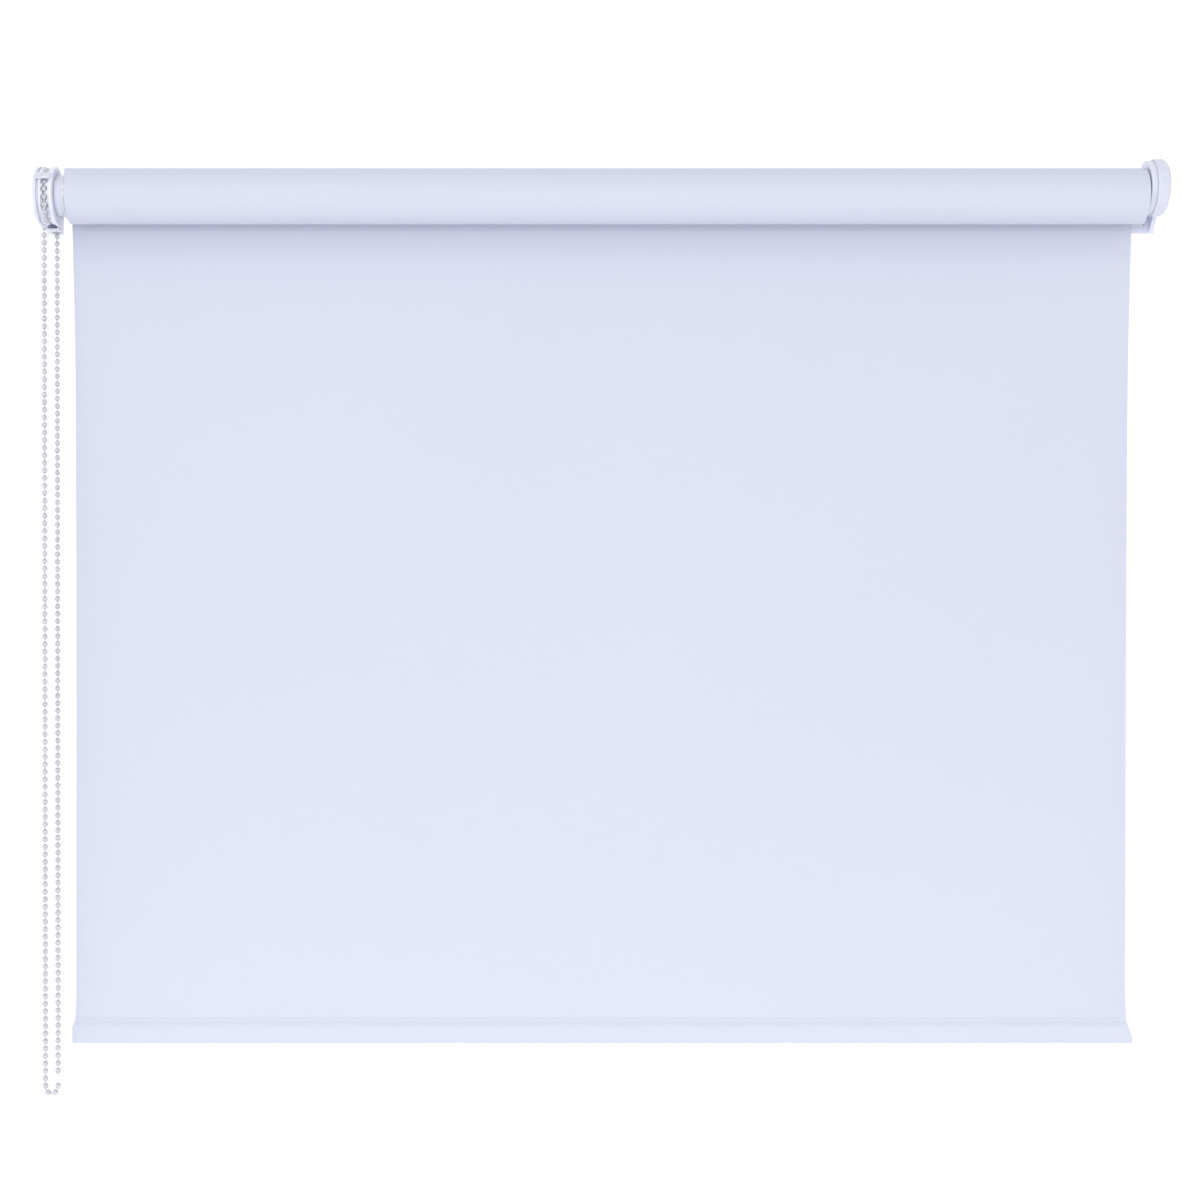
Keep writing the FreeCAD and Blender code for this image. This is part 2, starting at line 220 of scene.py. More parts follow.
def noise(tree, coordinates, size, detail=2.0, stretch=(1, 1, 1)):
    """Noise whose features are about size across, in the coordinates' own unit, and stretched by a
    scale along each axis."""
    mapping = add_node(tree, "ShaderNodeMapping", Vector=coordinates, Scale=stretch)
    return add_node(
        tree,
        "ShaderNodeTexNoise",
        Vector=mapping.outputs["Vector"],
        Scale=1 / size,
        Detail=detail,
    ).outputs["Fac"]


def bands(tree, coordinates, period, direction="X", distortion=0.0, detail=2.0):
    """Even bands a period apart, along X or, for DIAGONAL, along the sum of X, Y and Z."""
    return add_node(
        tree,
        "ShaderNodeTexWave",
        {"bands_direction": direction},
        Vector=coordinates,
        Scale=2 * math.pi / (BAND_RATE[direction] * period),
        Distortion=distortion,
        Detail=detail,
    ).outputs["Fac"]


def maths(tree, operation, *values):
    """The result of a math node, from numbers or sockets."""
    inputs = {f"in_{place}": value for place, value in enumerate(values)}
    return add_node(tree, "ShaderNodeMath", {"operation": operation}, **inputs).outputs[0]


def blackout_cloth():
    """Coated polyester blackout cloth: matt, very even, with a plain weave just to be felt close up.

    Its threads lie 0.5 mm apart. The weave is drawn at 0.9 mm, as coarse as it needs to show.
    """
    made, tree = new_material("Blackout_Cloth_Coated_Polyester")
    place = add_node(tree, "ShaderNodeUVMap", {"uv_map": "cloth_mm"}).outputs["UV"]
    threads = []
    for turn in (0.0, math.pi / 2):
        turned = add_node(tree, "ShaderNodeMapping", Vector=place, Rotation=(0, 0, turn))
        threads.append(
            bands(tree, turned.outputs["Vector"], WEAVE_PERIOD_MM, distortion=0.4, detail=1.0)
        )
    weave = maths(tree, "MULTIPLY", *threads)
    slub = noise(tree, place, 1.0, 3.0, (1 / 30, 1 / 1.6, 1))
    cloudy = noise(tree, place, 1.0, 2.0, (0.004, 0.004, 1))
    tone = maths(tree, "MULTIPLY_ADD", cloudy, 0.5, maths(tree, "MULTIPLY", slub, 0.5))
    height = maths(tree, "MULTIPLY_ADD", slub, 0.35, weave)
    bump = add_node(tree, "ShaderNodeBump", Strength=0.10, Distance=0.05 * MM, Height=height)
    shader = add_node(
        tree,
        "ShaderNodeBsdfPrincipled",
        Base_Color=shade(tree, props().cloth_dark, props().cloth_light, tone),
        Roughness=0.72,
        Specular_IOR_Level=0.3,
        Sheen_Weight=0.12,
        Sheen_Roughness=0.4,
        Normal=bump.outputs["Normal"],
    )
    surface(tree, shader)
    return made


def plastic(name, dark, light, roughness, grain_mm=0.35, bump_mm=0.006, translucency=0.6):
    """Injection moulded white plastic: an even colour with a faint cloud, a satin skin that rolls the
    light softly over its edges, the finest trace of spark eroded grain, and a body that lets light
    through its thin places."""
    made, tree = new_material(name)
    place = add_node(tree, "ShaderNodeTexCoord").outputs["Object"]
    cloud = noise(tree, place, 14.0 * MM)
    grain = noise(tree, place, grain_mm * MM)
    rough = add_node(
        tree,
        "ShaderNodeMapRange",
        Value=cloud,
        To_Min=roughness - 0.04,
        To_Max=roughness + 0.05,
    )
    bump = add_node(tree, "ShaderNodeBump", Strength=0.25, Distance=bump_mm * MM, Height=grain)
    shader = add_node(
        tree,
        "ShaderNodeBsdfPrincipled",
        Base_Color=shade(tree, dark, light, cloud),
        Roughness=rough.outputs["Result"],
        IOR=1.48,
        Subsurface_Weight=translucency,
        Normal=bump.outputs["Normal"],
    )
    shader.inputs["Subsurface Radius"].default_value = (1.0, 1.0, 1.0)
    shader.inputs["Subsurface Scale"].default_value = 4 * MM
    surface(tree, shader)
    return made


def brushed_metal(name, dark, light, roughness, stretch):
    """Bare metal with fine drawing lines along its length."""
    made, tree = new_material(name)
    place = add_node(tree, "ShaderNodeTexCoord").outputs["Object"]
    lines = noise(tree, place, 0.4 * MM, 3.0, stretch)
    rough = add_node(
        tree,
        "ShaderNodeMapRange",
        Value=lines,
        To_Min=roughness - 0.07,
        To_Max=roughness + 0.1,
    )
    bump = add_node(tree, "ShaderNodeBump", Strength=0.15, Distance=0.01 * MM, Height=lines)
    shader = add_node(
        tree,
        "ShaderNodeBsdfPrincipled",
        Base_Color=shade(tree, dark, light, lines),
        Metallic=1.0,
        Roughness=rough.outputs["Result"],
        Normal=bump.outputs["Normal"],
    )
    surface(tree, shader)
    return made


def polyester_cord():
    """Braided polyester cord: matt white with a diagonal braid."""
    made, tree = new_material("Chain_Cord_Braided_Polyester")
    place = add_node(tree, "ShaderNodeTexCoord").outputs["Object"]
    braid = bands(tree, place, 3.158 * MM, "DIAGONAL", distortion=1.0)
    bump = add_node(tree, "ShaderNodeBump", Strength=0.3, Distance=0.05 * MM, Height=braid)
    shader = add_node(
        tree,
        "ShaderNodeBsdfPrincipled",
        Base_Color=shade(tree, "C9CCDA", "E6E8F2", braid),
        Roughness=0.8,
        Normal=bump.outputs["Normal"],
    )
    surface(tree, shader)
    return made


def paper_tape():
    """Adhesive tape: thin, off-white, slightly fibrous."""
    made, tree = new_material("Tape_Adhesive_White")
    place = add_node(tree, "ShaderNodeTexCoord").outputs["Object"]
    fibre = noise(tree, place, 0.8 * MM, 3.0)
    colour = shade(tree, "D9DACF", "E8E8E0", fibre)
    shader = add_node(tree, "ShaderNodeBsdfPrincipled", Base_Color=colour, Roughness=0.6)
    surface(tree, shader)
    return made


def sewing_thread():
    """Polyester sewing thread: twisted, with a slight sheen, a little darker than the cloth."""
    made, tree = new_material("Hem_Thread_Polyester")
    place = add_node(tree, "ShaderNodeTexCoord").outputs["Object"]
    twist = bands(tree, place, 1.974 * MM, "DIAGONAL")
    colour = shade(tree, "A4A9BF", "B6BBCF", twist)
    shader = add_node(
        tree, "ShaderNodeBsdfPrincipled", Base_Color=colour, Roughness=0.55, Sheen_Weight=0.2
    )
    surface(tree, shader)
    return made


MATERIALS = {}


def material(name):
    """Each finish, made once when it is first asked for."""
    makers = {
        "cloth": blackout_cloth,
        "bracket": lambda: plastic(
            "Bracket_ABS_Satin_White", props().plastic_dark, props().plastic_light, 0.34
        ),
        "wheel": lambda: plastic(
            "Wheel_Acetal_White", "D8DAE8", "E0E2EE", 0.36, translucency=1.0
        ),
        "hub": lambda: plastic("Hub_Nylon_Gloss_White", "D8DBEA", "E4E6F2", 0.1, 0.8, 0.003),
        "bead": lambda: plastic(
            "Bead_Acetal_Gloss_White", "B8B9C2", "C4C5CE", 0.3, 1.2, 0.002, 1.0
        ),
        "bush": lambda: plastic("Bush_Acetal_Natural", "C6C8CC", "D6D8DA", 0.4),
        "bar_end": lambda: plastic("Bar_End_Polypropylene", "C8CCDA", "D8DBE8", 0.42),
        "link": lambda: plastic(
            "Chain_Link_Polycarbonate", "D8DAE6", "ECEEF6", 0.12, 1.2, 0.002
        ),
        "cord": polyester_cord,
        "tape": paper_tape,
        "thread": sewing_thread,
        "aluminium": lambda: brushed_metal(
            "Tube_Aluminium_Extruded", "A9ABAE", "C2C4C6", 0.34, (0.02, 1, 1)
        ),
        "steel": lambda: brushed_metal(
            "Spring_Steel_Drawn", "85868A", "A4A5A8", 0.28, (1, 1, 0.05)
        ),
    }
    if name not in MATERIALS:
        MATERIALS[name] = makers[name]()
    return MATERIALS[name]


def dress(piece, *names):
    """Gives a piece its materials, in slot order, in place of any it has."""
    piece.data.materials.clear()
    for name in names:
        piece.data.materials.append(material(name))
    return piece


# Cloth ----------------------------------------------------------------------------------------


def cloth_map(piece, along, down):
    """Writes the cloth's own map, in mm, from functions of a vertex's place."""
    layer = piece.data.uv_layers.new(name="cloth_mm")
    for loop in piece.data.loops:
        place = piece.data.vertices[loop.vertex_index].co
        layer.data[loop.index].uv = (along(place) / MM, down(place) / MM)


def cut_edges(below):
    """Where the cloth's two cut edges run, left and right, at a distance below the axis, in metres.
    The cloth draws in under its own weight, a little more on the right."""
    left = -430.0 + 2.6 * (1 - math.exp(-below / 0.080)) + 0.9 * below
    right = 430.8 - 3.2 * (1 - math.exp(-below / 0.090)) - 3.0 * below
    return left * MM, right * MM


def smoothstep(t):
    t = max(0.0, min(1.0, t))
    return t * t * (3 - 2 * t)


class ROLLERBLIND_OT_roll(Operator):
    """Winds the cloth on the tube, as closed turns whose edges step a little."""

    bl_idname = "roller_blind.roll"
    bl_label = "Wound Cloth"

    def execute(self, context):
        settings = props()
        rng = random.Random(settings.seed)
        thick = settings.cloth_thickness
        turns = round((ROLL_R - TUBE_R - 0.15 * MM) / thick)
        points, faces = [], []
        around = 144
        for turn in range(turns):
            outer = ROLL_R - turn * thick
            inner = outer - thick * 0.93
            steps = 0.0 if turn == 0 else rng.uniform(0.2, 0.9) * MM + 0.12 * MM * turn
            ends = (ROLL_LOW.x + steps, ROLL_HIGH.x - rng.uniform(0.0, 0.8) * MM * min(turn, 1))
            lean = (3.3, 0.8) if turn == 0 else (rng.uniform(0.3, 1.2), rng.uniform(0.2, 0.9))
            self.add_turn(points, faces, outer, inner, ends, lean, around, rng)
        roll = mesh_object("cloth_roll", points, faces)
        outward(roll)
        cloth_map(roll, lambda p: p.x, lambda p: math.atan2(p.z - AXIS.z, p.y - AXIS.y) * ROLL_R)
        dress(crisp(roll), "cloth")
        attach(roll, "roller")
        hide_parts("fabric_roll")
        return {"FINISHED"}

    def add_turn(self, points, faces, outer, inner, ends, lean, around, rng):
        """One closed turn of cloth, a thin ring as long as the roll. Its two edges waver, and lean
        out over the top and the back, from where the cloth hangs."""
        start = len(points)
        waver = [[rng.uniform(-1, 1) for _ in range(3)] for _ in ends]
        rows = []
        for side, x in enumerate(ends):
            a, b, c = waver[side]
            inwards = 1 if side == 0 else -1
            row = []
            for k in range(around):
                angle = 2 * math.pi * k / around
                shift = 0.12 * MM * (1 + a * math.sin(angle + b * 3) + 0.5 * c * math.sin(3 * angle))
                over = smoothstep((math.cos(angle - math.pi / 4) + 0.35) / 1.05)
                row.append((x + inwards * (max(0.0, shift) - lean[side] * over * MM), angle))
            rows.append(row)
        for radius in (outer, inner):
            for row in rows:
                for x, angle in row:
                    points.append(from_axis(x, radius * math.cos(angle), radius * math.sin(angle)))
        ring = [[start + (2 * i + j) * around for j in range(2)] for i in range(2)]
        loop = [ring[0][0], ring[0][1], ring[1][1], ring[1][0]]
        for i in range(4):
            one, two = loop[i], loop[(i + 1) % 4]
            for k in range(around):
                n = (k + 1) % around
                faces.append((one + k, one + n, two + n, two + k))


class ROLLERBLIND_OT_drop(Operator):
    """Hangs the cloth from the back of the roll: flat and full width at both ends, and a little
    narrower and cupped towards the wall along its two cut edges between them."""

    bl_idname = "roller_blind.drop"
    bl_label = "Hanging Cloth"

    def execute(self, context):
        settings = props()
        across, down = 96, 84
        half = (CLOTH_HIGH.x - CLOTH_LOW.x) / 2
        top, bottom = AXIS.z, HEM_HIGH.z - 1.2 * MM  # its end lies between the hem's two layers
        points, uvs = [], []
        for j in range(down + 1):
            v = j / down
            from_top, from_bottom = v * (top - bottom), (1 - v) * (top - bottom)
            cup = smoothstep((from_top - 0.018) / 0.14) * smoothstep(from_bottom / 0.022)
            left, right = cut_edges(from_top)
            for i in range(across + 1):
                even = 2 * i / across - 1
                u = 0.55 * math.sin(math.pi / 2 * even) + 0.45 * even
                x = left + (right - left) * (u + 1) / 2
                edge = max(0.0, (abs(u) * half - (half - settings.cup_width)) / settings.cup_width)
                y = CLOTH_MID_Y + cup * settings.cup_depth * edge**2
                long_wave = math.sin(u * 5.1 + 0.7) * math.sin(v * 3.3 + 0.4)
                short_wave = 0.5 * math.sin(u * 11.0 + v * 2.0)
                y += cup * settings.wave_depth * (long_wave + short_wave)
                points.append((x, y, top - from_top))
                uvs.append((half * u / MM, from_top / MM))
        row = across + 1
        faces = [
            (j * row + i, (j + 1) * row + i, (j + 1) * row + i + 1, j * row + i + 1)
            for j in range(down)
            for i in range(across)
        ]
        cloth = mesh_object("cloth_drop", points, faces)
        layer = cloth.data.uv_layers.new(name="cloth_mm")
        for loop in cloth.data.loops:
            layer.data[loop.index].uv = uvs[loop.vertex_index]
        thick = cloth.modifiers.new("thickness", "SOLIDIFY")
        thick.thickness = settings.cloth_thickness
        thick.offset = 0.0
        dress(crisp(plain_mesh(cloth)), "cloth")
        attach(cloth, "brackets")
        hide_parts("fabric_drop")
        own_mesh(cloth)
        return {"FINISHED"}


SEAM_LAYER = 0.25 * MM  # each of the hem's two layers, and how far its face lies from the middle
HEM_DRAW_LEFT, HEM_DRAW_RIGHT = 2.1 * MM, 4.6 * MM  # how much wider the pocket is than its seam
HEM_RIPPLE = 0.10 * MM


def hem_outline():
    """The hem's section as (y, z) from its seam down the front, round the bar and up the back, in
    metres: two layers lie together at the seam, and the pocket opens gently down to the bar."""
    high = HEM_HIGH.z - HEM_LOW.z
    radius = (HEM_HIGH.y - HEM_LOW.y) / 2
    front = [(-SEAM_LAYER, 0.0)]
    for k in range(15):
        t = k / 14
        out = SEAM_LAYER + (radius - SEAM_LAYER) * smoothstep(t)
        front.append((-out, -2.0 * MM - 6.5 * MM * t))
    front += [(-radius, -11.5 * MM), (-radius, -15.0 * MM)]
    belly = [
        (-radius * math.cos(math.pi * k / 28), -(high - radius) - radius * math.sin(math.pi * k / 28))
        for k in range(29)
    ]
    return front + belly + [(-y, z) for y, z in reversed(front)]


def stitch_tree():
    """Geometry Nodes: sewn stitches in a row along X, each a thread that dives into the cloth."""
    tree = bpy.data.node_groups.new("Hem Stitches", "GeometryNodeTree")
    tree_input(tree, "Row Length", default=0.8)
    tree_input(tree, "Stitch Pitch", default=0.003)
    tree_input(tree, "Stitch Length", default=0.002)
    tree_input(tree, "Thread Radius", default=0.0002)
    tree_input(tree, "Row Place", "NodeSocketVector")
    tree_input(tree, "Thread", "NodeSocketMaterial")
    tree.interface.new_socket("Geometry", in_out="OUTPUT", socket_type="NodeSocketGeometry")
    given = tree.nodes.new("NodeGroupInput").outputs
    half = maths(tree, "MULTIPLY", given["Row Length"], -0.5)
    first = add_node(tree, "ShaderNodeCombineXYZ", X=half)
    start = add_node(
        tree,
        "ShaderNodeVectorMath",
        {"operation": "ADD"},
        in_0=first.outputs[0],
        in_1=given["Row Place"],
    )
    step = add_node(tree, "ShaderNodeCombineXYZ", X=given["Stitch Pitch"])
    row = add_node(
        tree,
        "GeometryNodeMeshLine",
        {"mode": "OFFSET"},
        Count=maths(tree, "DIVIDE", given["Row Length"], given["Stitch Pitch"]),
        Start_Location=start.outputs[0],
        Offset=step.outputs[0],
    )
    reach = maths(tree, "MULTIPLY", given["Stitch Length"], 0.5)
    dive = maths(tree, "MULTIPLY", given["Thread Radius"], 2.0)
    rise = maths(tree, "MULTIPLY", given["Thread Radius"], -2.0)
    left = add_node(tree, "ShaderNodeCombineXYZ", X=maths(tree, "MULTIPLY", reach, -1.0), Y=dive)
    right = add_node(tree, "ShaderNodeCombineXYZ", X=reach, Y=dive)
    crown = add_node(tree, "ShaderNodeCombineXYZ", Y=rise)
    arc = add_node(
        tree,
        "GeometryNodeCurveQuadraticBezier",
        Resolution=4,
        Start=left.outputs[0],
        Middle=crown.outputs[0],
        End=right.outputs[0],
    )
    section = add_node(
        tree, "GeometryNodeCurvePrimitiveCircle", Resolution=6, Radius=given["Thread Radius"]
    )
    thread = add_node(
        tree,
        "GeometryNodeCurveToMesh",
        Curve=arc.outputs[0],
        Profile_Curve=section.outputs["Curve"],
        Fill_Caps=True,
    )
    rows = add_node(
        tree, "GeometryNodeInstanceOnPoints", Points=row.outputs["Mesh"], Instance=thread.outputs[0]
    )
    real = add_node(tree, "GeometryNodeRealizeInstances", Geometry=rows.outputs[0])
    finish = add_node(
        tree, "GeometryNodeSetMaterial", Geometry=real.outputs[0], Material=given["Thread"]
    )
    out = tree.nodes.new("NodeGroupOutput")
    tree.links.new(finish.outputs[0], out.inputs[0])
    return tree


class ROLLERBLIND_OT_hem(Operator):
    """Makes the hem: a pocket of cloth folded round the bottom bar and sewn along its top."""

    bl_idname = "roller_blind.hem"
    bl_label = "Hem"

    def execute(self, context):
        settings = props()
        half = (HEM_HIGH.x - HEM_LOW.x) / 2
        outline = hem_outline()
        columns = 120
        points, faces = [], []
        seam_left, seam_right = cut_edges(AXIS.z - HEM_HIGH.z)
        for i in range(columns + 1):
            for y, z in outline:
                left = seam_left - HEM_DRAW_LEFT * smoothstep(-z / (9 * MM))
                right = seam_right + HEM_DRAW_RIGHT * smoothstep((-z - 2 * MM) / (17 * MM))
                x = left + (right - left) * i / columns
                if y < 0:
                    y += HEM_RIPPLE * math.sin(x * 95 + z * 300) * min(1.0, abs(z) / (6 * MM))
                points.append((x, CLOTH_MID_Y + y, HEM_HIGH.z + z))
        row = len(outline)
        for i in range(columns):
            for k in range(row - 1):
                a = i * row + k
                faces.append((a, a + 1, a + row + 1, a + row))
        hem = mesh_object("hem", points, faces)
        thick = hem.modifiers.new("thickness", "SOLIDIFY")
        thick.thickness = SEAM_LAYER
        thick.offset = -1.0
        crisp(plain_mesh(hem))
        cloth_map(hem, lambda p: p.x, lambda p: p.z)
        dress(hem, "cloth")
        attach(hem, "bottom_bar")
        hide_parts("hem_pocket")
        stitches = self.stitches(settings, half)
        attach(stitches, "bottom_bar")
        return {"FINISHED"}

    def stitches(self, settings, half):
        row = new_object("hem_stitches", bpy.data.meshes.new("hem_stitches"))
        front = Vector((0.0, CLOTH_MID_Y - 0.30 * MM, HEM_HIGH.z - 1.6 * MM))
        return run_tree(
            row,
            stitch_tree(),
            {
                "Row Length": 2 * half - 9 * MM,
                "Stitch Pitch": settings.stitch_pitch,
                "Stitch Length": settings.stitch_pitch * 0.72,
                "Thread Radius": 0.22 * MM,
                "Row Place": front,
                "Thread": material("thread"),
            },
        )


# Bead chain -----------------------------------------------------------------------------------


def chain_route():
    """Control points of the hanging chain: down at the front, round the bottom, up at the back."""
    slope_x = (LOOP_X[0] - CHAIN_X) / (CHAIN_BOTTOM - CHAIN_TOP)
    slope_y = PITCH_R / (CHAIN_BOTTOM - CHAIN_TOP)
    guard_y = slope_y * CORNER_GUARD
    return [
        from_axis(CHAIN_X, -PITCH_R, -CHAIN_TOP),
        from_axis(LOOP_X[0] - slope_x * CORNER_GUARD, -guard_y, -CHAIN_BOTTOM + CORNER_GUARD),
        from_axis(LOOP_X[0], 0, -CHAIN_BOTTOM),
        from_axis(LOOP_X[1], 0, -CHAIN_BOTTOM),
        from_axis(LOOP_X[1] + slope_x * CORNER_GUARD, guard_y, -CHAIN_BOTTOM + CORNER_GUARD),
        from_axis(CHAIN_X, PITCH_R, -CHAIN_TOP),
    ]


def spline_points(route):
    """Points read from the smooth spline through a route."""
    curve = bpy.data.curves.new("route", "CURVE")
    curve.dimensions = "3D"
    spline = curve.splines.new("NURBS")
    spline.points.add(len(route) - 1)
    for point, place in zip(spline.points, route):
        point.co = (*place, 1.0)
    spline.order_u = 3
    spline.use_endpoint_u = True
    spline.resolution_u = 24
    holder = bpy.data.objects.new("route", curve)
    mesh = bpy.data.meshes.new_from_object(holder)
    line = [v.co.copy() for v in mesh.vertices]
    bpy.data.objects.remove(holder)
    bpy.data.meshes.remove(mesh)
    return line


def bead_tree():
    """Geometry Nodes: beads on the given points and a cord along the given line."""
    tree = bpy.data.node_groups.new("Bead Chain", "GeometryNodeTree")
    tree_input(tree, "Line", "NodeSocketObject")
    tree_input(tree, "Bead Places", "NodeSocketObject")
    tree_input(tree, "Bead Radius", default=0.00225)
    tree_input(tree, "Cord Radius", default=0.0007)
    tree_input(tree, "Bead Plastic", "NodeSocketMaterial")
    tree_input(tree, "Cord", "NodeSocketMaterial")
    tree.interface.new_socket("Geometry", in_out="OUTPUT", socket_type="NodeSocketGeometry")
    given = tree.nodes.new("NodeGroupInput").outputs
    line = add_node(tree, "GeometryNodeObjectInfo", Object=given["Line"])
    path = add_node(tree, "GeometryNodeMeshToCurve", Mesh=line.outputs["Geometry"])
    section = add_node(
        tree, "GeometryNodeCurvePrimitiveCircle", Resolution=8, Radius=given["Cord Radius"]
    )
    cord = add_node(
        tree,
        "GeometryNodeCurveToMesh",
        Curve=path.outputs[0],
        Profile_Curve=section.outputs["Curve"],
        Fill_Caps=True,
    )
    cord = add_node(
        tree, "GeometryNodeSetMaterial", Geometry=cord.outputs[0], Material=given["Cord"]
    )
    places = add_node(tree, "GeometryNodeObjectInfo", Object=given["Bead Places"])
    bead = add_node(
        tree, "GeometryNodeMeshUVSphere", Segments=14, Rings=9, Radius=given["Bead Radius"]
    )
    beads = add_node(
        tree,
        "GeometryNodeInstanceOnPoints",
        Points=places.outputs["Geometry"],
        Instance=bead.outputs["Mesh"],
    )
    real = add_node(tree, "GeometryNodeRealizeInstances", Geometry=beads.outputs[0])
    smooth = add_node(
        tree, "GeometryNodeSetShadeSmooth", Geometry=real.outputs[0], Shade_Smooth=True
    )
    beads = add_node(
        tree,
        "GeometryNodeSetMaterial",
        Geometry=smooth.outputs[0],
        Material=given["Bead Plastic"],
    )
    both = tree.nodes.new("GeometryNodeJoinGeometry")
    for part in (cord, beads):
        tree.links.new(part.outputs[0], both.inputs[0])
    out = tree.nodes.new("NodeGroupOutput")
    tree.links.new(both.outputs[0], out.inputs[0])
    return tree


def beaded(name, line, places):
    """A stretch of bead chain as one mesh, with its cord and beads."""
    edges = [(i, i + 1) for i in range(len(line) - 1)]
    helpers = []
    for label, points, links in (("line", line, edges), ("places", places, [])):
        mesh = bpy.data.meshes.new(label)
        mesh.from_pydata([tuple(p) for p in points], links, [])
        helpers.append(new_object(name + "_" + label, mesh))
    chain = new_object(name, bpy.data.meshes.new(name))
    if "Bead Chain" not in bpy.data.node_groups:
        bead_tree()
    run_tree(
        chain,
        bpy.data.node_groups["Bead Chain"],
        {
            "Line": helpers[0],
            "Bead Places": helpers[1],
            "Bead Radius": props().bead_diameter / 2,
            "Cord Radius": props().cord_diameter / 2,
            "Bead Plastic": material("bead"),
            "Cord": material("cord"),
        },
    )
    for helper in helpers:
        bpy.data.objects.remove(helper)
    return chain


def along(line, distances):
    """Points at the given distances along a line."""
    points = np.array([tuple(p) for p in line])
    steps = np.linalg.norm(np.diff(points, axis=0), axis=1)
    run = np.concatenate([[0.0], np.cumsum(steps)])
    places = [np.interp(distances, run, points[:, k]) for k in range(3)]
    return [Vector(p) for p in np.stack(places, axis=1)], run[-1]


class ROLLERBLIND_OT_chain(Operator):
    """Strings the bead chain: the loop that hangs, its snap link, and the stretch on the wheel."""

    bl_idname = "roller_blind.chain"
    bl_label = "Bead Chain"

    def execute(self, context):
        line = spline_points(chain_route())
        length = along(line, [0.0])[1]
        first = 3.0 * MM
        count = round((length - 2 * first) / BEAD_PITCH)
        pitch = (length - 2 * first) / count
        link = middle("chain_connector")
        places, _ = along(line, [first + k * pitch for k in range(count + 1)])
        nearest = min(places, key=lambda p: (p - link).length)
        places = [p for p in places if p is not nearest]
        chain = beaded("bead_chain_loop", line, places)
        wheel = self.on_wheel()
        snap = self.snap_link(line, nearest)
        for piece in (chain, wheel, snap):
            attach(piece, "brackets")
        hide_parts("bead_chain")
        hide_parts("wheel_beads")
        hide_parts("chain_connector")
        return {"FINISHED"}

    def on_wheel(self):
        """The beads in the wheel's upper pockets, and those at each side that lead to the strands."""
        step = 2 * math.pi / WHEEL_POCKETS
        upper = WHEEL_POCKETS // 4
        angles = [step * k for k in range(-upper, upper + 1)]
        places = [self.pitch_point(a) for a in angles]
        line = [self.pitch_point(a) for a in np.linspace(-math.pi / 2, math.pi / 2, 64)]
        last_step = PITCH_R * (math.pi / 2 - angles[-1])
        for side in (-1, 1):
            z = BEAD_PITCH - last_step
            while z < CHAIN_TOP - 1 * MM:
                places.append(from_axis(CHAIN_X, side * PITCH_R, -z))
                z += BEAD_PITCH
        front, back = (from_axis(CHAIN_X, side * PITCH_R, -CHAIN_TOP) for side in (-1, 1))
        return beaded("bead_chain_on_wheel", [front, *line, back], places)

    def pitch_point(self, angle):
        """A point on the wheel's pitch circle, at an angle from its top."""
        return from_axis(CHAIN_X, PITCH_R * math.sin(angle), PITCH_R * math.cos(angle))

    def snap_link(self, line, place):
        """A slim moulded sleeve that joins the cord's two ends, waisted at its middle."""
        near = min(range(1, len(line) - 1), key=lambda i: (line[i] - place).length)
        way = (line[near + 1] - line[near - 1]).normalized()
        turn = way.to_track_quat("Z", "Y").to_matrix().to_4x4()
        half = [(0.4, 0.95), (0.8, 1.2), (2.2, 1.15), (2.6, 0.8), (2.6, 0.0)]  # (z, radius) in mm
        profile = [(-z, r) for z, r in reversed(half)] + half
        sides = 20
        points = [
            Matrix.Translation(place)
            @ turn
            @ Vector((r * MM * math.cos(a), r * MM * math.sin(a), z * MM))
            for z, r in profile
            for a in (2 * math.pi * k / sides for k in range(sides))
        ]
        faces = []
        for low in range(0, (len(profile) - 1) * sides, sides):
            high = low + sides
            for k in range(sides):
                n = (k + 1) % sides
                faces.append((low + k, low + n, high + n, high + k))
        sleeve = mesh_object("chain_snap_link", points, faces)
        outward(sleeve)
        return dress(sleeve, "link")


# Mechanism ------------------------------------------------------------------------------------


FINISHES = {
    "drive_bracket": "bracket",
    "drive_cover": "bracket",
    "chain_guide": "bracket",
    "idle_bracket": "bracket",
    "idle_cover": "bracket",
    "idle_socket": "bracket",
    "chain_wheel": "wheel",
    "drive_post": "hub",
    "drive_hub": "hub",
    "idle_plug": "hub",
    "brake_spring_a": "steel",
    "brake_spring_b": "steel",
    "hub_clip": "steel",
    "idle_pin": "steel",
    "pin_spring": "steel",
    "idle_bush": "bush",
    "roller_tube": "aluminium",
    "bottom_bar": "aluminium",
    "bar_end_left": "bar_end",
    "bar_end_right": "bar_end",
    "fabric_tape": "tape",
}

SOFTENED = {
    "drive_bracket": ("drive_bracket_shell", "brackets", "bracket_plastic", 0.35),
    "idle_bracket": ("idle_bracket_shell", "brackets", "bracket_plastic", 0.5),
    "drive_hub": ("drive_hub_body", "roller", "hub_plastic", 0.3),
    "idle_socket": ("idle_socket_disc", "brackets", "bracket_plastic", 0.3),
}


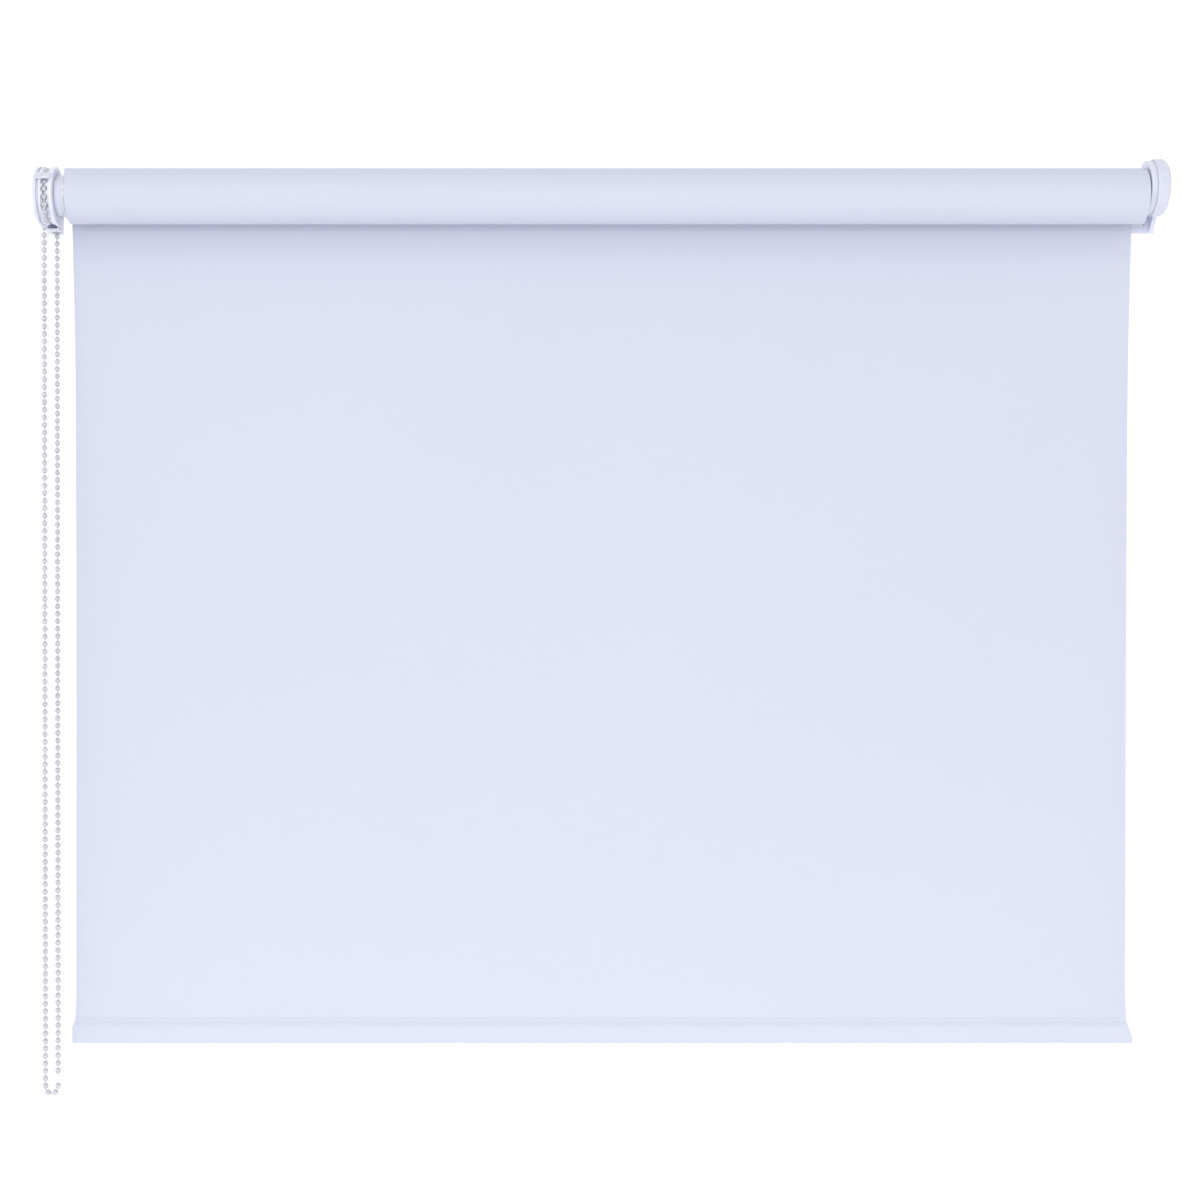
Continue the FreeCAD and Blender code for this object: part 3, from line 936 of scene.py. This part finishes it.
class ROLLERBLIND_OT_finishes(Operator):
    """Gives every moulded and metal part its finish, and eases the moulded edges that show."""

    bl_idname = "roller_blind.finishes"
    bl_label = "Brackets and Mechanism"

    def execute(self, context):
        for node, finish in FINISHES.items():
            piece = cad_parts[node]
            if node in SOFTENED:
                self.softened(piece, finish, *SOFTENED[node])
            else:
                dress(piece, finish)
        return {"FINISHED"}

    def softened(self, source, finish, name, body, slot, radius_mm):
        """A copy of a moulded part with a small round on its sharp edges."""
        piece = new_object(name, source.data.copy())
        work = bmesh.new()
        work.from_mesh(piece.data)
        bmesh.ops.remove_doubles(work, verts=work.verts, dist=1e-6)
        bmesh.ops.dissolve_limit(
            work, angle_limit=math.radians(1.5), verts=work.verts, edges=work.edges
        )
        work.to_mesh(piece.data)
        work.free()
        bevel = piece.modifiers.new("round", "BEVEL")
        bevel.width = radius_mm * MM
        bevel.segments = 3
        bevel.limit_method = "ANGLE"
        bevel.angle_limit = math.radians(40)
        bevel.harden_normals = True
        piece.data.shade_smooth()
        plain_mesh(piece)
        dress(piece, finish)
        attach(piece, body)
        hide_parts(source.name)


# Stage ----------------------------------------------------------------------------------------


def area_light(name, place, target, size, power, colour):
    light = bpy.data.lights.new(name, "AREA")
    light.shape = "RECTANGLE"
    light.size, light.size_y = size
    light.energy = power
    light.color = colour
    holder = bpy.data.objects.new(name, light)
    bpy.context.scene.collection.objects.link(holder)
    holder.location = place
    holder.rotation_euler = (Vector(target) - Vector(place)).to_track_quat("-Z", "Y").to_euler()


class ROLLERBLIND_OT_stage(Operator):
    """Sets the camera, a plain pale floor far below, and soft studio light from above the front."""

    bl_idname = "roller_blind.stage"
    bl_label = "Stage"

    def execute(self, context):
        settings = props()
        scene = context.scene
        scene.view_settings.view_transform = "Standard"
        self.camera(scene, settings)
        self.floor()
        self.light(scene)
        return {"FINISHED"}

    def camera(self, scene, settings):
        lens = bpy.data.cameras.new("camera")
        lens.lens = settings.lens
        lens.sensor_width = 36.0
        lens.shift_x = settings.shift_x
        lens.clip_end = 50.0
        camera = bpy.data.objects.new("camera", lens)
        scene.collection.objects.link(camera)
        camera.location = (
            settings.camera_side,
            CLOTH_MID_Y - settings.camera_distance,
            AXIS.z - settings.camera_below,
        )
        camera.rotation_euler = (math.pi / 2, 0, 0)
        scene.camera = camera

    def floor(self):
        size, level = 14.0, AXIS.z - 1.9
        corners = ((-size, -size), (size, -size), (size, size), (-size, size))
        points = [(x, y, level) for x, y in corners]
        floor = mesh_object("floor", points, [(0, 1, 2, 3)], smooth=False)
        made, tree = new_material("Floor_Matt_White")
        shader = add_node(
            tree, "ShaderNodeBsdfPrincipled", Base_Color=rgba("FAFAFA"), Roughness=0.95
        )
        shader.inputs["Emission Color"].default_value = (1.0, 1.0, 1.0, 1.0)
        shader.inputs["Emission Strength"].default_value = 0.12
        surface(tree, shader)
        floor.data.materials.append(made)

    def light(self, scene):
        world = bpy.data.worlds.new("studio")
        scene.world = world
        world.use_nodes = True
        tree = world.node_tree
        way = add_node(tree, "ShaderNodeTexCoord").outputs["Generated"]
        height = add_node(tree, "ShaderNodeSeparateXYZ", Vector=way)
        strength = add_node(
            tree,
            "ShaderNodeMapRange",
            {"interpolation_type": "SMOOTHSTEP"},
            Value=height.outputs["Z"],
            From_Min=0.3,
            From_Max=1.0,
            To_Min=1.08,
            To_Max=0.84,
        )
        back = tree.nodes["Background"]
        back.inputs["Color"].default_value = (1.0, 1.0, 1.0, 1.0)
        tree.links.new(strength.outputs["Result"], back.inputs["Strength"])
        white = (1.0, 1.0, 1.0)
        area_light("front", (-0.5, -3.4, 0.12), from_axis(0, 0, -0.3), (2.6, 0.6), 15, white)
        area_light("low", (0.0, -0.72, -1.05), from_axis(0, 0, -0.75), (1.5, 0.25), 1.6, white)
        area_light("spark", (-1.2, -2.6, 2.0), from_axis(-0.4, 0, 0), (0.3, 0.3), 6, white)


# Settings, panel and registration --------------------------------------------------------------


def length_setting(name, description, default):
    return FloatProperty(name=name, description=description, default=default, unit="LENGTH")


def colour_setting(name, description, default):
    return StringProperty(name=name, description=description + ", as sRGB hex", default=default)


class RollerBlindSettings(PropertyGroup):
    cloth_thickness: length_setting(
        "Cloth Thickness", "Thickness of the blackout cloth", CLOTH_HIGH.y - CLOTH_LOW.y
    )
    cup_width: length_setting("Cup Width", "Width of the strip along each edge that cups", 34.0 * MM)
    cup_depth: length_setting("Cup Depth", "How far the cut edges cup towards the wall", 3.4 * MM)
    wave_depth: length_setting("Wave Depth", "Height of the cloth's faint long waves", 0.5 * MM)
    stitch_pitch: length_setting("Stitch Pitch", "Distance between stitches of the hem", 3.0 * MM)
    bead_diameter: length_setting("Bead Diameter", "Diameter of the chain's beads", 4.5 * MM)
    cord_diameter: length_setting("Cord Diameter", "Diameter of the cord in the beads", 1.4 * MM)
    cloth_light: colour_setting("Cloth Light Tone", "The cloth's lighter tone", "CBCFE0")
    cloth_dark: colour_setting("Cloth Dark Tone", "The cloth's darker tone", "C6CADB")
    plastic_light: colour_setting("Plastic Light Tone", "The brackets' lighter tone", "D7DAEA")
    plastic_dark: colour_setting("Plastic Dark Tone", "The brackets' darker tone", "D0D3E3")
    seed: IntProperty(name="Seed", description="Seed for the uneven cloth edges", default=7)
    lens: FloatProperty(name="Lens", description="Focal length in mm", default=59.14)
    shift_x: FloatProperty(name="Shift", description="Sideways shift of the view", default=0.0367)
    camera_side: length_setting("Camera Side", "Camera's place across", -37.0 * MM)
    camera_distance: length_setting("Camera Distance", "From the cloth to the camera", 1.6)
    camera_below: length_setting("Camera Below", "How far the camera is under the roller", 0.3230)


STEPS = (
    ROLLERBLIND_OT_stage,
    ROLLERBLIND_OT_chain,
    ROLLERBLIND_OT_drop,
    ROLLERBLIND_OT_hem,
    ROLLERBLIND_OT_roll,
    ROLLERBLIND_OT_finishes,
)


class ROLLERBLIND_PT_panel(Panel):
    """Lists the blind's pieces and sizes."""

    bl_label = "Roller Blind"
    bl_idname = "ROLLERBLIND_PT_panel"
    bl_space_type = "VIEW_3D"
    bl_region_type = "UI"
    bl_category = "Roller Blind"

    def draw(self, context):
        for step in STEPS:
            self.layout.operator(step.bl_idname)
        for name in RollerBlindSettings.__annotations__:
            self.layout.prop(props(), name)


CLASSES = (RollerBlindSettings, *STEPS, ROLLERBLIND_PT_panel)


def register():
    for cls in CLASSES:
        bpy.utils.register_class(cls)
    bpy.types.Scene.roller_blind = PointerProperty(type=RollerBlindSettings)


def unregister():
    del bpy.types.Scene.roller_blind
    for cls in reversed(CLASSES):
        bpy.utils.unregister_class(cls)


def main():
    register()
    bpy.ops.roller_blind.stage()
    bpy.ops.roller_blind.chain()
    bpy.ops.roller_blind.drop()
    bpy.ops.roller_blind.hem()
    bpy.ops.roller_blind.roll()
    bpy.ops.roller_blind.finishes()


if __name__ == "__main__":
    main()
